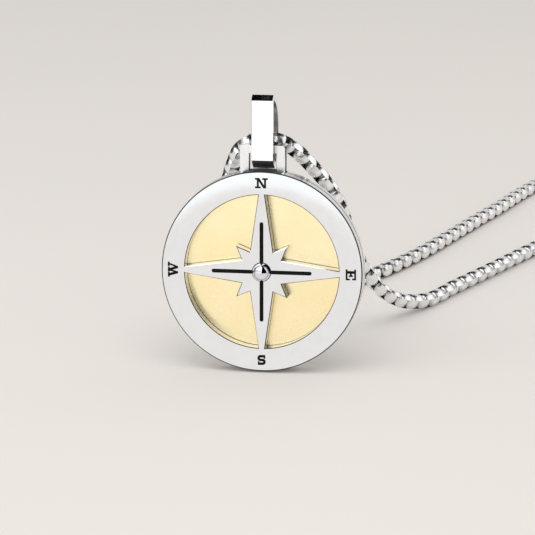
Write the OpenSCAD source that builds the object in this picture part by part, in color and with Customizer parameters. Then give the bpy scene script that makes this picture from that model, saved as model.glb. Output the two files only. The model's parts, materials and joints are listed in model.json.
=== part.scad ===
// Compass pendant: a round two-plate medallion with a pierced compass rose over
// a gold disc, a strap bail on a soldered staple, and a round box chain.
// The medallion stands on its rim and leans back a little, the chain runs through
// the bail, falls behind it and lies on the surface in one closed loop.

/* [Medallion] */
// Outside diameter of the medallion
medal_d = 28; // [20:0.5:40]
// Thickness of the pierced front plate
plate_t = 1.8; // [1.2:0.1:2.5]
// Thickness of the back plate
back_t = 1.35; // [1.2:0.05:2]
// Diameter of the window that shows the gold disc
window_d = 21.5; // [15:0.5:23]
// Thickness of the gold disc
disc_t = 0.5; // [0.3:0.05:0.6]
// Backward lean of the standing medallion, in degrees
lean_deg = 4; // [0:0.5:8]

/* [Compass rose] */
// Width of a long needle where it meets the ring
needle_tip_w = 0.76; // [0.4:0.02:1]
// Half width of a long needle at its base corners
needle_base_half_w = 1.62; // [1.2:0.02:2]
// Distance of the base corners from the centre, along the needle
needle_base_y = 2.77; // [2.2:0.01:3.4]
// Distance of a short point's tip from the centre
short_point_r = 5.03; // [4.4:0.01:6]
// Diameter of the polished ball in the middle
ball_d = 2.55; // [2:0.05:3.2]

/* [Black lines and letters] */
// Width of the black lines along the needles
line_w = 0.5; // [0.3:0.05:0.6]
// Distance of a line's outer end from the centre
line_end_r = 6.95; // [5:0.05:7.5]
// Depth of the engraving that holds the black fill
engrave_depth = 0.38; // [0.2:0.02:0.6]
// Height of the capital letters
letter_h = 1.35; // [1:0.05:1.6]
// Distance of the letters from the centre of the dial
letter_r = 12.4; // [12:0.05:12.6]

/* [Staple and bail] */
// Outside width of the staple
staple_w = 6.1; // [5.5:0.1:7]
// Width of each staple post
staple_post_w = 1.14; // [0.9:0.02:1.3]
// Depth of the staple, front to back
staple_depth = 1; // [0.8:0.05:1.2]
// Height of the staple above the rim
staple_rise = 3.3; // [3:0.1:3.6]
// Thickness of the staple's crossbar
crossbar_t = 0.95; // [0.8:0.05:1]
// Width of the bail strap
bail_w = 3; // [2:0.1:3.4]
// Thickness of the bail strap
bail_t = 0.85; // [0.7:0.05:0.9]

/* [Chain and clasp] */
// Outside diameter of the round box chain
chain_d = 2.2; // [1.6:0.1:2.2]
// Length of the clasp between the two chain ends
clasp_l = 14; // [12:0.5:14]
// Width of the clasp
clasp_w = 5.6; // [4.6:0.1:6]

/* [Hidden] */
$fn = 96;

// Working clearances
seam_gap = 0.05;
seat_gap = 0.03;
face_gap = 0.01;
overlap = 0.5;

// Steps round the rim and round small corners
rim_steps = 180;
corner_steps = 32;

// Round edges of the plates
edge_chamfer = 0.2;
seam_chamfer = 0.12;
window_chamfer = 0.08;

// Derived sizes of the medallion, whose front face is at depth 0
medal_r = medal_d / 2;
window_r = window_d / 2;
seam_y = plate_t + seam_gap;
total_t = seam_y + back_t;
foot_y = total_t - seam_chamfer;
disc_lap = 0.95;
disc_r = window_r + disc_lap;
disc_y = seam_y + face_gap;
disc_pocket_t = disc_t + seam_gap;
ball_r = ball_d / 2;
stem_r = 0.7;
line_ball_gap = 0.1;

// Derived sizes of the staple and the bail
staple_y = seam_y;
staple_top_z = medal_d + staple_rise;
crossbar_z = staple_top_z - crossbar_t;
staple_root = 0.8;
staple_corner_r = 0.35;

// Side view of the bail's outside: depth behind the front face, height above the rim
bail_front_low = [0.6, 1.55];
bail_front_high = [0.6, 9.87];
bail_crown = [1.7, 10.5];
bail_back = [6.25, 3.4];
bail_heel = [3, 0.22];
crown_handle = [3.9, 10.3];
back_handle_high = [6.1, 6.9];
back_handle_low = [6.35, 1.6];
heel_handle = [4.9, 0.22];
bow_steps = 14;
heel_steps = 8;

// Letters are drawn round their own centre, clockwise
letter_half = letter_h / 2;
serif_t = 0.17;
serif_low = letter_half - serif_t;
s_stroke = 0.28;
s_bowl_r = (letter_half - s_stroke / 2) / 2;
s_bowl_x = 0.14;

// Chain route: across, away from the viewer and up; it starts in the bail
route_right = [
    [0, 3.2, 31.8], [2, 3.2, 31.4], [3.9, 4.6, 29.9], [5.8, 6.2, 27.4],
    [7.8, 8.1, 24.3], [9.1, 10.2, 21.1], [9.8, 12.6, 17.2], [10.4, 15.2, 13.2], [11.8, 18.4, 9.2],
    [13.6, 21.8, 5.4], [16.1, 26.6, 2.5],
    [19.2, 32.6, 1.1], [22, 39.4, 1.1], [24.6, 45.4, 1.1], [27.2, 51.4, 1.1], [29.8, 57.6, 1.1],
    [32.6, 64, 1.1], [36, 70, 1.1], [41, 75, 1.1], [47.6, 77.6, 1.1], [54.6, 77.8, 1.1],
    [61.6, 76.6, 1.1], [68.6, 74.4, 1.1], [75.6, 71.8, 1.1], [82.6, 69.4, 1.1], [89.8, 67.4, 1.1],
    [97.2, 66.2, 1.1], [104.6, 66, 1.1], [112, 66.8, 1.1], [119.2, 68.8, 1.1], [126, 72, 1.1],
    [132.4, 76.4, 1.1], [138.2, 81.8, 1.1], [141.2, 88.4, 1.1]];
route_left = [
    [0, 3.2, 31.8], [-2, 3.2, 31.4], [-3.8, 4.4, 30], [-5.2, 6.6, 27.4],
    [-6.4, 8.8, 24.2], [-7.4, 11.6, 19.6], [-8, 14.6, 14.6], [-8, 17.8, 9.8], [-7.2, 21.4, 5.6],
    [-5, 25.8, 2.8], [-1.6, 31, 1.3],
    [2.4, 36.6, 1.1], [6.6, 42, 1.1], [10.2, 47.6, 1.1], [13, 53.8, 1.1], [15.6, 60.6, 1.1],
    [17.8, 67.6, 1.1], [20, 74.8, 1.1], [22.2, 82, 1.1], [24.6, 89.4, 1.1], [26.6, 96.6, 1.1],
    [28.8, 103.8, 1.1], [31.6, 110.6, 1.1], [35, 117, 1.1], [39.2, 123, 1.1], [44.2, 128.4, 1.1],
    [50, 133, 1.1], [56.4, 136.8, 1.1], [63.2, 139.6, 1.1], [70.4, 141.4, 1.1], [77.6, 142.6, 1.1],
    [85, 143.2, 1.1], [92.4, 143, 1.1], [99.8, 142, 1.1], [107, 140, 1.1], [113.8, 137, 1.1],
    [120.2, 133.2, 1.1], [126.2, 128.6, 1.1], [131.6, 123.2, 1.1], [136.2, 117, 1.1],
    [139.8, 110.2, 1.1], [141.2, 103, 1.1]];
tube_sides = 8;
end_right = route_right[len(route_right) - 1];
end_left = route_left[len(route_left) - 1];
clasp_x = end_right.x;
clasp_y = (end_right.y + end_left.y) / 2;
clasp_t = 2;
clasp_eye_r = 1.9;
clasp_eye_hole_r = 0.9;
clasp_hook_hole_w = 2.4;
clasp_neck = 0.6;

// A point of a cubic curve through two ends with two handles
function curve(a, b, c, d, t) =
    pow(1 - t, 3) * a + 3 * pow(1 - t, 2) * t * b + 3 * (1 - t) * t * t * c + pow(t, 3) * d;

// Points of such a curve, without its first end
function curve_points(a, b, c, d, steps) = [for (i = [1:steps]) curve(a, b, c, d, i / steps)];

// Unit vector, and the normal to the right of a flat direction
function unit(v) = v / norm(v);
function right_of(v) = [v.y, -v.x];

// A closed outline moved to its right by a distance, with mitred corners
function inset(points, distance) = [
    for (i = [0:len(points) - 1])
    let (
        before = points[(i + len(points) - 1) % len(points)],
        here = points[i],
        after = points[(i + 1) % len(points)],
        normal_in = right_of(unit(here - before)),
        normal_out = right_of(unit(after - here)))
    here + distance * (normal_in + normal_out) / (1 + normal_in * normal_out)];

// The bail's outside, from the front's foot up, over the crown and down the bowed back
bail_outline = concat(
    [bail_front_low, bail_front_high, bail_crown],
    curve_points(bail_crown, crown_handle, back_handle_high, bail_back, bow_steps),
    curve_points(bail_back, back_handle_low, heel_handle, bail_heel, heel_steps));

// Points along an arc, turning from one angle to another
function arc_points(centre, radius, from, to, steps = 8) = [
    for (i = [0:steps])
    let (angle = from + (to - from) * i / steps)
    centre + radius * [cos(angle), sin(angle)]];

// Outlines of the capital letters
letter_n_outline = [
    [-0.85, -letter_half], [-0.85, -serif_low], [-0.6, -serif_low], [-0.6, serif_low],
    [-0.85, serif_low], [-0.85, letter_half], [-0.32, letter_half], [0.4, -0.405],
    [0.4, serif_low], [0.15, serif_low], [0.15, letter_half], [0.85, letter_half],
    [0.85, serif_low], [0.6, serif_low], [0.6, -letter_half], [0.28, -letter_half],
    [-0.4, 0.345], [-0.4, -serif_low], [-0.15, -serif_low], [-0.15, -letter_half]];
letter_e_outline = [
    [-0.72, -letter_half], [-0.72, -serif_low], [-0.5, -serif_low], [-0.5, serif_low],
    [-0.72, serif_low], [-0.72, letter_half], [0.7, letter_half], [0.7, 0.22], [0.54, 0.22],
    [0.54, serif_low], [-0.2, serif_low], [-0.2, serif_t / 2], [0.1, serif_t / 2], [0.1, 0.24],
    [0.25, 0.24], [0.25, -0.24], [0.1, -0.24], [0.1, -serif_t / 2], [-0.2, -serif_t / 2],
    [-0.2, -serif_low], [0.56, -serif_low], [0.56, -0.18], [0.72, -0.18], [0.72, -letter_half]];
letter_w_outline = [
    [-1.02, serif_low], [-1.02, letter_half], [-0.42, letter_half], [-0.42, serif_low],
    [-0.57, serif_low], [-0.362, -0.196], [-0.16, serif_low], [-0.3, serif_low],
    [-0.3, letter_half], [0.3, letter_half], [0.3, serif_low], [0.13, serif_low],
    [0.387, -0.317], [0.68, serif_low], [0.46, serif_low], [0.46, letter_half],
    [1.02, letter_half], [1.02, serif_low], [0.86, serif_low], [0.44, -letter_half],
    [0.2, -letter_half], [-0.06, 0.156], [-0.3, -letter_half], [-0.52, -letter_half],
    [-0.87, serif_low]];
s_upper = [-s_bowl_x, s_bowl_r];
s_lower = [s_bowl_x, -s_bowl_r];
s_outer_r = s_bowl_r + s_stroke / 2;
s_inner_r = s_bowl_r - s_stroke / 2;
letter_s_outline = concat(
    [[0.48, letter_half], [0.48, 0.22], [0.34, 0.22], [0.34, letter_half - s_stroke]],
    arc_points(s_upper, s_inner_r, 90, 270),
    arc_points(s_lower, s_outer_r, 90, -90),
    [[-0.48, -letter_half], [-0.48, -0.22], [-0.34, -0.22], [-0.34, s_stroke - letter_half]],
    arc_points(s_lower, s_inner_r, -90, 90),
    arc_points(s_upper, s_outer_r, 270, 90));
letter_outlines = [letter_n_outline, letter_e_outline, letter_s_outline, letter_w_outline];

// One quarter of the rose: a needle's right edge, then the short point beside it
rose_quarter = [
    [-needle_tip_w / 2, window_r + overlap], [needle_tip_w / 2, window_r + overlap],
    [needle_base_half_w, needle_base_y],
    [short_point_r / sqrt(2), short_point_r / sqrt(2)],
    [needle_base_y, needle_base_half_w]];

// A flat point turned clockwise about the centre
function turned(point, angle) = [
    point.x * cos(angle) + point.y * sin(angle), point.y * cos(angle) - point.x * sin(angle)];

// Direction of a route at one of its points; the first ring stands square across the bail
function route_direction(route, i) =
    i == 0 ? [sign(route[1].x), 0, 0] : unit(route[min(i + 1, len(route) - 1)] - route[i - 1]);

// A point of the ring across a route
function ring_side(direction) = unit(cross(direction, [0, 0, 1]));
function ring_point(centre, direction, angle, radius) =
    let (side = ring_side(direction), up = cross(side, direction))
    centre + radius * (cos(angle) * side + sin(angle) * up);

// Stand the medallion on its rim: its lowest edge comes to the origin, then it leans back
module stood() {
    rotate([-lean_deg, 0, 0]) translate([0, -foot_y, 0]) children();
}

// Lift a flat drawing of the dial, x across and y up from the dial's centre, to a plate
// whose front face is at the given depth
module dial_plate(depth, thickness) {
    translate([0, depth + thickness, medal_r]) rotate([90, 0, 0])
        linear_extrude(height = thickness) children();
}

// Turn a profile of radius and depth about the dial's axis
module dial_turned() {
    translate([0, 0, medal_r]) rotate([-90, 0, 0]) rotate_extrude($fn = rim_steps) children();
}

module case() {
    color("silver") stood() {
        difference() {
            dial_turned() polygon([
                [0, seam_y], [medal_r - seam_chamfer, seam_y], [medal_r, seam_y + seam_chamfer],
                [medal_r, total_t - seam_chamfer], [medal_r - seam_chamfer, total_t], [0, total_t]]);
            dial_turned() translate([0, seam_y - overlap])
                square([disc_r + seam_gap, disc_pocket_t + overlap]);
        }
        staple();
    }
}

// Inverted U soldered on the rim of the back plate
module staple() {
    half_w = staple_w / 2;
    window_half_w = half_w - staple_post_w;
    root_z = medal_d - staple_root;
    translate([0, staple_y + staple_depth, 0]) rotate([90, 0, 0])
        linear_extrude(height = staple_depth) difference() {
            union() {
                translate([-half_w, root_z])
                    square([staple_w, staple_top_z - staple_corner_r - root_z]);
                translate([-half_w + staple_corner_r, root_z])
                    square([staple_w - 2 * staple_corner_r, staple_top_z - root_z]);
                for (side = [-1, 1])
                    translate([side * (half_w - staple_corner_r), staple_top_z - staple_corner_r])
                        circle(staple_corner_r, $fn = corner_steps);
            }
            translate([-window_half_w, root_z - overlap])
                square([2 * window_half_w, crossbar_z - root_z + overlap]);
        }
}

module inlay_disc() {
    color("khaki") stood() dial_turned() translate([0, disc_y])
        square([disc_r, disc_t]);
}

// Ring and pierced compass rose in one plate, engraved for the black fill
module front_plate() {
    color("gainsboro") stood() difference() {
        union() {
            dial_turned() polygon([
                [window_r + window_chamfer, 0], [medal_r - edge_chamfer, 0], [medal_r, edge_chamfer],
                [medal_r, plate_t - seam_chamfer], [medal_r - seam_chamfer, plate_t],
                [window_r, plate_t], [window_r, window_chamfer]]);
            dial_plate(0, plate_t)
                polygon([for (k = [0:3]) for (point = rose_quarter) turned(point, 90 * k)]);
        }
        dial_turned() translate([0, -overlap])
            square([stem_r + seat_gap, plate_t + 2 * overlap]);
        dial_plate(-overlap, engrave_depth + overlap) {
            for (k = [0:3]) {
                rotate(-90 * k) line_shape(seat_gap);
                letter_place(k) polygon(inset(letter_outlines[k], -seat_gap));
            }
        }
    }
}

// Polished half ball on a stem through the plate
module centre_ball() {
    color("white") stood() {
        intersection() {
            translate([0, 0, medal_r]) sphere(ball_r);
            translate([-ball_r - overlap, -ball_d - seat_gap, medal_r - ball_r - overlap])
                cube([ball_d + 2 * overlap, ball_d, ball_d + 2 * overlap]);
        }
        dial_turned() translate([0, -ball_r / 2]) square([stem_r, ball_r / 2 + plate_t]);
    }
}

// One black line with round ends, drawn up the dial; grow widens it all round
module line_shape(grow) {
    start_r = ball_r + line_ball_gap + line_w / 2;
    end_r = line_end_r - line_w / 2;
    translate([-line_w / 2 - grow, start_r]) square([line_w + 2 * grow, end_r - start_r]);
    for (r = [start_r, end_r]) translate([0, r]) circle(line_w / 2 + grow, $fn = corner_steps);
}

// Black fill of the engraving, a little below the plate's face
module black_fill() {
    color("black") stood() dial_plate(seat_gap, engrave_depth - 2 * seat_gap) children();
}

module black_line(quarter) {
    black_fill() rotate(-90 * quarter) line_shape(0);
}

module black_letter(quarter) {
    black_fill() letter_place(quarter) polygon(letter_outlines[quarter]);
}

// Place of a letter on the ring, its top facing outward at north, east and west
module letter_place(quarter) {
    if (quarter == 2) translate([0, -letter_r]) children();
    else rotate(-90 * quarter) translate([0, letter_r]) children();
}

// Flat strap bent into a closed loop through the staple
module bail() {
    color("whitesmoke") stood() translate([-bail_w / 2, 0, medal_d]) rotate([90, 0, 90])
        linear_extrude(height = bail_w) difference() {
            polygon(bail_outline);
            polygon(inset(bail_outline, bail_t));
        }
}

// Tube swept along a route, with flat ends
module chain_tube(route) {
    rings = len(route);
    points = [
        for (i = [0:rings - 1]) for (k = [0:tube_sides - 1])
        ring_point(route[i], route_direction(route, i), 360 * k / tube_sides, chain_d / 2)];
    sides = [
        for (i = [0:rings - 2]) for (k = [0:tube_sides - 1])
        let (here = i * tube_sides, next = (k + 1) % tube_sides)
        [here + k, here + next, here + tube_sides + next, here + tube_sides + k]];
    first_end = [for (k = [tube_sides - 1:-1:0]) k];
    last_end = [for (k = [0:tube_sides - 1]) (rings - 1) * tube_sides + k];
    polyhedron(points, concat(sides, [first_end, last_end]), convexity = 4);
}

module chain_right() { color("lightgray") chain_tube(route_right); }
module chain_left() { color("darkgray") chain_tube(route_left); }

// Plain closed hook with an eye at one end, lying flat
module clasp() {
    low = clasp_y - clasp_l / 2;
    high = clasp_y + clasp_l / 2;
    eye_y = low + clasp_eye_r;
    body_r = clasp_w / 2;
    body_low_y = eye_y + clasp_eye_r - clasp_neck + body_r;
    body_high_y = high - body_r;
    color("silver") translate([clasp_x, 0, 0]) linear_extrude(height = clasp_t) difference() {
        union() {
            translate([0, eye_y]) circle(clasp_eye_r);
            for (y = [body_low_y, body_high_y]) translate([0, y]) circle(body_r);
            translate([-body_r, body_low_y]) square([clasp_w, body_high_y - body_low_y]);
        }
        translate([0, eye_y]) circle(clasp_eye_hole_r);
        for (y = [body_low_y + clasp_neck, body_high_y]) translate([0, y])
            circle(clasp_hook_hole_w / 2);
        translate([-clasp_hook_hole_w / 2, body_low_y + clasp_neck])
            square([clasp_hook_hole_w, body_high_y - body_low_y - clasp_neck]);
    }
}

case();
inlay_disc();
front_plate();
centre_ball();
black_line(0);  // line_n
black_line(1);  // line_e
black_line(2);  // line_s
black_line(3);  // line_w
black_letter(0);  // letter_n
black_letter(1);  // letter_e
black_letter(2);  // letter_s
black_letter(3);  // letter_w
bail();
chain_right();
chain_left();
clasp();
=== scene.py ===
"""Compass pendant: looks for the medallion, its strap bail and its round box chain.

The medallion stands on its rim and leans back a little. The chain runs through the bail, drops
behind the medallion and lies on the floor in one closed loop. Sizes are in millimetres in the
medallion's own frame (across, depth behind the front face, height above the foot), and each
piece is placed in the scene's metres as it is finished.
"""

import json
import logging
import math
from dataclasses import dataclass, field
from enum import Enum, IntEnum
from typing import Callable, Iterable

import bmesh
import bpy
from bmesh.types import BMEdge, BMesh, BMFace, BMVert
from bpy.types import ID, Material, Mesh, Node, NodeSocket, Object
from mathutils import Matrix, Vector
from mathutils.geometry import interpolate_bezier, intersect_line_sphere_2d

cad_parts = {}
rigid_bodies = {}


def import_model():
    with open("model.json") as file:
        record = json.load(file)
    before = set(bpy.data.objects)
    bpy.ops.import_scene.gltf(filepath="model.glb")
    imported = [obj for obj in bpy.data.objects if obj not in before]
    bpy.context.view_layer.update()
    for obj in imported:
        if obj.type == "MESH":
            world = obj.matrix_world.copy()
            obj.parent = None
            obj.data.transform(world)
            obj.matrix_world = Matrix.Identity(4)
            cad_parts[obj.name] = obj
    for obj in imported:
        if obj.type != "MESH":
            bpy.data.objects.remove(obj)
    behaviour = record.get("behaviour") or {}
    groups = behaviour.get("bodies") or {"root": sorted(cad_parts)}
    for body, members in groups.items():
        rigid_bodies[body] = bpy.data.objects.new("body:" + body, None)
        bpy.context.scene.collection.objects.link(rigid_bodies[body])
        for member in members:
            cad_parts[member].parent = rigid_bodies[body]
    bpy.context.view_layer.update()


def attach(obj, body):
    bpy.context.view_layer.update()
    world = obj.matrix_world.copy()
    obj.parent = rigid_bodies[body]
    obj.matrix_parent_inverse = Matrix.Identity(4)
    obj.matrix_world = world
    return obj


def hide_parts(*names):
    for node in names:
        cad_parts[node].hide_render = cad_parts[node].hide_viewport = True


logging.basicConfig(level=logging.INFO, format="%(levelname)s %(message)s")
LOG = logging.getLogger("compass_pendant")

Pair = tuple[float, float]
Triple = tuple[float, float, float]

MM = 0.001
WELD = 1e-4
# The angle between two faces, in radians, over which their edge is a corner
CORNER = 1.0
# A face looks along an axis where its normal has more than this along it
FACING = 0.5
# A face stands along an axis where its normal has less than this along it
EDGE_ON = 0.3
# The stretch of a noise's values that a finish uses
MIDDLE = (0.3, 0.7)


class Body(Enum):
    """The bodies that pieces ride on."""

    ROOT = "root"
    BAIL = "bail"


class Slot(Enum):
    """The record's material slots."""

    POLISHED = "polished_steel"
    SATIN = "satin_steel"
    GOLD = "brushed_gold"
    ENAMEL = "black_enamel"
    CHAIN = "chain_steel"


class Operation(Enum):
    """What a boolean does with its tools."""

    UNION = "UNION"
    DIFFERENCE = "DIFFERENCE"


class DialCoat(IntEnum):
    """The finishes of the dial plate's faces, in the order of its materials."""

    SATIN = 0
    SHADED_WALL = 1
    LIT_WALL = 2
    SHADE_UNDER_BAIL = 3
    SHADE_LINE = 4
    RIM = 5


class BackCoat(IntEnum):
    """The finishes of the back plate's faces, in the order of its materials."""

    POLISHED = 0
    SHADE_UNDER_BAIL = 1
    SHADE_LINE = 2
    RIM = 3


class Coat(IntEnum):
    """The finishes of a piece that has two, in the order of its materials."""

    MAIN = 0
    SECOND = 1


@dataclass(frozen=True)
class Stand:
    """How the medallion stands: its lean, and the depth of the edge that it rests on."""

    lean_deg: float = 4.0
    foot_depth: float = 3.08
    radius: float = 14.0

    def matrix(self) -> Matrix:
        """Return the transform from the medallion's millimetres to the scene's metres."""
        lean = Matrix.Rotation(math.radians(-self.lean_deg), 4, "X")
        return Matrix.Scale(MM, 4) @ lean @ Matrix.Translation((0, -self.foot_depth, 0))

    def dial(self) -> Matrix:
        """Return the same transform for shapes drawn round the dial's centre."""
        return self.matrix() @ Matrix.Translation((0, 0, self.radius))


STAND = Stand()


# Finishes


@dataclass(frozen=True)
class Grain:
    """A noise pattern: its scale, its detail, and how it is stretched and turned."""

    scale: float
    detail: float = 2.0
    stretch: Triple = (1, 1, 1)
    turn_deg: Triple = (0, 0, 0)
    roughness: float = 0.55


@dataclass
class NodeTree:
    """A short way to write a material's nodes."""

    name: str
    material: Material = field(init=False)
    shader: Node = field(init=False)

    def __post_init__(self) -> None:
        """Start a material with a Principled shader."""
        self.material = bpy.data.materials.new(self.name)
        self.material.use_nodes = True
        self.shader = self.material.node_tree.nodes["Principled BSDF"]

    def add(self, kind: str, **values: float | str | list[float]) -> Node:
        """Add a node and set its properties and inputs.

        Args:
            kind: The node's type, such as "ShaderNodeTexNoise".
            **values: Properties by name, and inputs by name with spaces as underscores.

        Returns:
            The new node.
        """
        node = self.material.node_tree.nodes.new(kind)
        for key, value in values.items():
            label = key.replace("_", " ")
            if label in node.inputs:
                node.inputs[label].default_value = value
            else:
                setattr(node, key, value)
        return node

    def link(self, source: NodeSocket, target: NodeSocket) -> None:
        """Join an output to an input."""
        self.material.node_tree.links.new(source, target)

    def plain(self, **values: float | tuple[float, ...]) -> None:
        """Set constant values on the shader's own sockets, with spaces as underscores."""
        for key, value in values.items():
            self.shader.inputs[key.replace("_", " ")].default_value = value

    def noise(self, grain: Grain) -> NodeSocket:
        """Lay a noise over Object coordinates in millimetres.

        Args:
            grain: The pattern.

        Returns:
            The socket that holds its value.
        """
        source = self.add("ShaderNodeTexCoord")
        mapping = self.add("ShaderNodeMapping", Scale=[part / MM for part in grain.stretch],
                           Rotation=[math.radians(part) for part in grain.turn_deg])
        texture = self.add("ShaderNodeTexNoise", Scale=grain.scale, Detail=grain.detail,
                           Roughness=grain.roughness)
        self.link(source.outputs["Object"], mapping.inputs["Vector"])
        self.link(mapping.outputs["Vector"], texture.inputs["Vector"])
        return texture.outputs["Fac"]

    def paint(self, value: NodeSocket, low: Triple, high: Triple, span: Pair = MIDDLE) -> None:
        """Colour the shader by a value.

        Args:
            value: The value, such as a noise.
            low: The colour at the low end of the span and under it.
            high: The colour at its high end and over it.
            span: The values between which the colour changes.
        """
        ramp = self.add("ShaderNodeValToRGB")
        for element, place, colour in zip(ramp.color_ramp.elements, span, (low, high)):
            element.position = place
            element.color = (*colour, 1)
        self.link(value, ramp.inputs["Fac"])
        self.link(ramp.outputs["Color"], self.shader.inputs["Base Color"])

    def gloss(self, value: NodeSocket, roughness: Pair, span: Pair = MIDDLE) -> None:
        """Set the shader's roughness by a value.

        Args:
            value: The value, such as a noise.
            roughness: The roughness at the low and at the high end of the span.
            span: The values between which it changes.
        """
        mapped = self.add("ShaderNodeMapRange", From_Min=span[0], From_Max=span[1],
                          To_Min=roughness[0], To_Max=roughness[1])
        self.link(value, mapped.inputs["Value"])
        self.link(mapped.outputs["Result"], self.shader.inputs["Roughness"])

    def bump(self, heights: Iterable[tuple[NodeSocket, float]]) -> None:
        """Lay relief on the shader, one height after another.

        Args:
            heights: Each height's value, and its depth in millimetres.
        """
        normal = None
        for height, depth in heights:
            step = self.add("ShaderNodeBump", Strength=1.0, Distance=depth * MM)
            self.link(height, step.inputs["Height"])
            if normal is not None:
                self.link(normal, step.inputs["Normal"])
            normal = step.outputs["Normal"]
        self.link(normal, self.shader.inputs["Normal"])


@dataclass(frozen=True)
class Finish:
    """What all the finishes share: a name, and a material that is made from their nodes."""

    name: str

    def dress(self, tree: NodeTree) -> None:
        """Write the finish's nodes, which each kind of finish does in its own way."""
        raise NotImplementedError

    def make(self) -> Material:
        """Make the finish's material.

        Returns:
            The material.
        """
        tree = NodeTree(self.name)
        self.dress(tree)
        return tree.material


@dataclass(frozen=True)
class MetalFinish(Finish):
    """A steel finish: its colour, its gloss and how its fine scratches lie."""

    dark: Triple
    light: Triple
    roughness: Pair
    scratch_depth: float
    wave_depth: float
    cloud: Grain = Grain(0.55, 4)
    wave: Grain = Grain(0.22, 1)
    hair_across: Grain = Grain(2.4, 2, (9, 1, 0.35), (0, 25, 15))
    hair_along: Grain = Grain(2.1, 2, (0.35, 1, 9), (0, -35, 10))

    def dress(self, tree: NodeTree) -> None:
        """Write a cloudy polish, hair scratches two ways and a faint waviness.

        Args:
            tree: The nodes of the finish's material.
        """
        cloud = tree.noise(self.cloud)
        tree.paint(cloud, self.dark, self.light)
        tree.gloss(cloud, self.roughness)
        tree.plain(Metallic=1.0)
        tree.bump([(tree.noise(self.wave), self.wave_depth),
                   (tree.noise(self.hair_across), self.scratch_depth),
                   (tree.noise(self.hair_along), self.scratch_depth)])


@dataclass(frozen=True)
class GoldFinish(Finish):
    """Pale gold plating, softly brushed in all directions, with broad soft mottling."""

    name: str = "brushed_gold"
    pale: Triple = (1.0, 0.885, 0.56)
    deep: Triple = (1.0, 0.855, 0.50)
    colour_span: Pair = (0.32, 0.62)
    roughness: Pair = (0.22, 0.29)
    brush_depth: float = 0.001
    mottle_depth: float = 0.02
    mottle: Grain = Grain(0.16, 2, roughness=0.4)
    cloud: Grain = Grain(0.9, 4)
    brush_up: Grain = Grain(2.2, 2, (8, 1, 0.5), (0, 40, 0))
    brush_down: Grain = Grain(2.0, 2, (8, 1, 0.5), (0, -50, 0))

    def dress(self, tree: NodeTree) -> None:
        """Write the broad mottling under fine brush marks that cross.

        Args:
            tree: The nodes of the finish's material.
        """
        mottle = tree.noise(self.mottle)
        tree.paint(mottle, self.deep, self.pale, self.colour_span)
        tree.gloss(tree.noise(self.cloud), self.roughness)
        tree.plain(Metallic=1.0)
        tree.bump([(tree.noise(self.brush_up), self.brush_depth),
                   (tree.noise(self.brush_down), self.brush_depth), (mottle, self.mottle_depth)])


@dataclass(frozen=True)
class EnamelFinish(Finish):
    """Black enamel with a soft gloss and a slightly uneven fired surface."""

    name: str = "black_enamel"
    dark: Triple = (0.002, 0.002, 0.003)
    light: Triple = (0.006, 0.006, 0.007)
    roughness: Pair = (0.10, 0.20)
    specular: float = 0.1
    pit_depth: float = 0.01
    pits: Grain = Grain(3.0, 3)

    def dress(self, tree: NodeTree) -> None:
        """Write the soft black gloss with its shallow pits.

        Args:
            tree: The nodes of the finish's material.
        """
        pits = tree.noise(self.pits)
        tree.paint(pits, self.dark, self.light)
        tree.gloss(pits, self.roughness)
        tree.plain(Specular_IOR_Level=self.specular)
        tree.bump([(pits, self.pit_depth)])


@dataclass(frozen=True)
class ChainFinish(Finish):
    """Polished links, duller on their inner faces, with shade painted inside and between them.

    A vertex attribute of painted shade is 1 on the inner faces, which are painted dark, and 0 on
    the outsides apart from a little painted shade towards the ends of a link, between neighbours.
    """

    name: str = "chain_steel"
    painted_link_shade: str = "painted_link_shade"
    outer: Triple = (0.96, 0.96, 0.965)
    # Colour of the painted shade inside the links.
    inner: Triple = (0.18, 0.18, 0.185)
    roughness: Pair = (0.26, 0.5)
    recess_span: Pair = (0.02, 1.0)
    cloud_share: float = 0.12
    hair_depth: float = 0.003
    cloud: Grain = Grain(1.4, 3)
    hair: Grain = Grain(2.0, 2, (5, 1.5, 5), (0, 0, 30))

    def dress(self, tree: NodeTree) -> None:
        """Write the polish, which dulls and takes painted shade as the attribute rises.

        Args:
            tree: The nodes of the finish's material.
        """
        depth = tree.add("ShaderNodeAttribute", attribute_name=self.painted_link_shade)
        # A little random cloud, added to the painted shade.
        cloud_and_shade = tree.add("ShaderNodeMath", operation="MULTIPLY_ADD")
        factor, share, base = cloud_and_shade.inputs
        tree.link(tree.noise(self.cloud), factor)
        share.default_value = self.cloud_share
        tree.link(depth.outputs["Fac"], base)
        tree.paint(cloud_and_shade.outputs["Value"], self.outer, self.inner, self.recess_span)
        tree.gloss(cloud_and_shade.outputs["Value"], self.roughness, self.recess_span)
        tree.plain(Metallic=1.0)
        tree.bump([(tree.noise(self.hair), self.hair_depth)])


@dataclass(frozen=True)
class MilledFinish(Finish):
    """Dull dark steel with fine cutter marks, used to paint shade: the lines along edges and the
    place under the bail.
    """

    dark: Triple
    light: Triple
    metallic: float = 0.25
    roughness: Pair = (0.45, 0.65)
    mark_depth: float = 0.01
    marks: Grain = Grain(1.8, 3, (1, 6, 1))

    def dress(self, tree: NodeTree) -> None:
        """Write the dull steel with its cutter marks.

        Args:
            tree: The nodes of the finish's material.
        """
        marks = tree.noise(self.marks)
        tree.paint(marks, self.dark, self.light)
        tree.gloss(marks, self.roughness)
        tree.plain(Metallic=self.metallic)
        tree.bump([(marks, self.mark_depth)])


def made_by(finish: Finish) -> Material:
    """Return a dataclass field that is filled with the finish's material."""
    return field(default_factory=finish.make)


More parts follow.
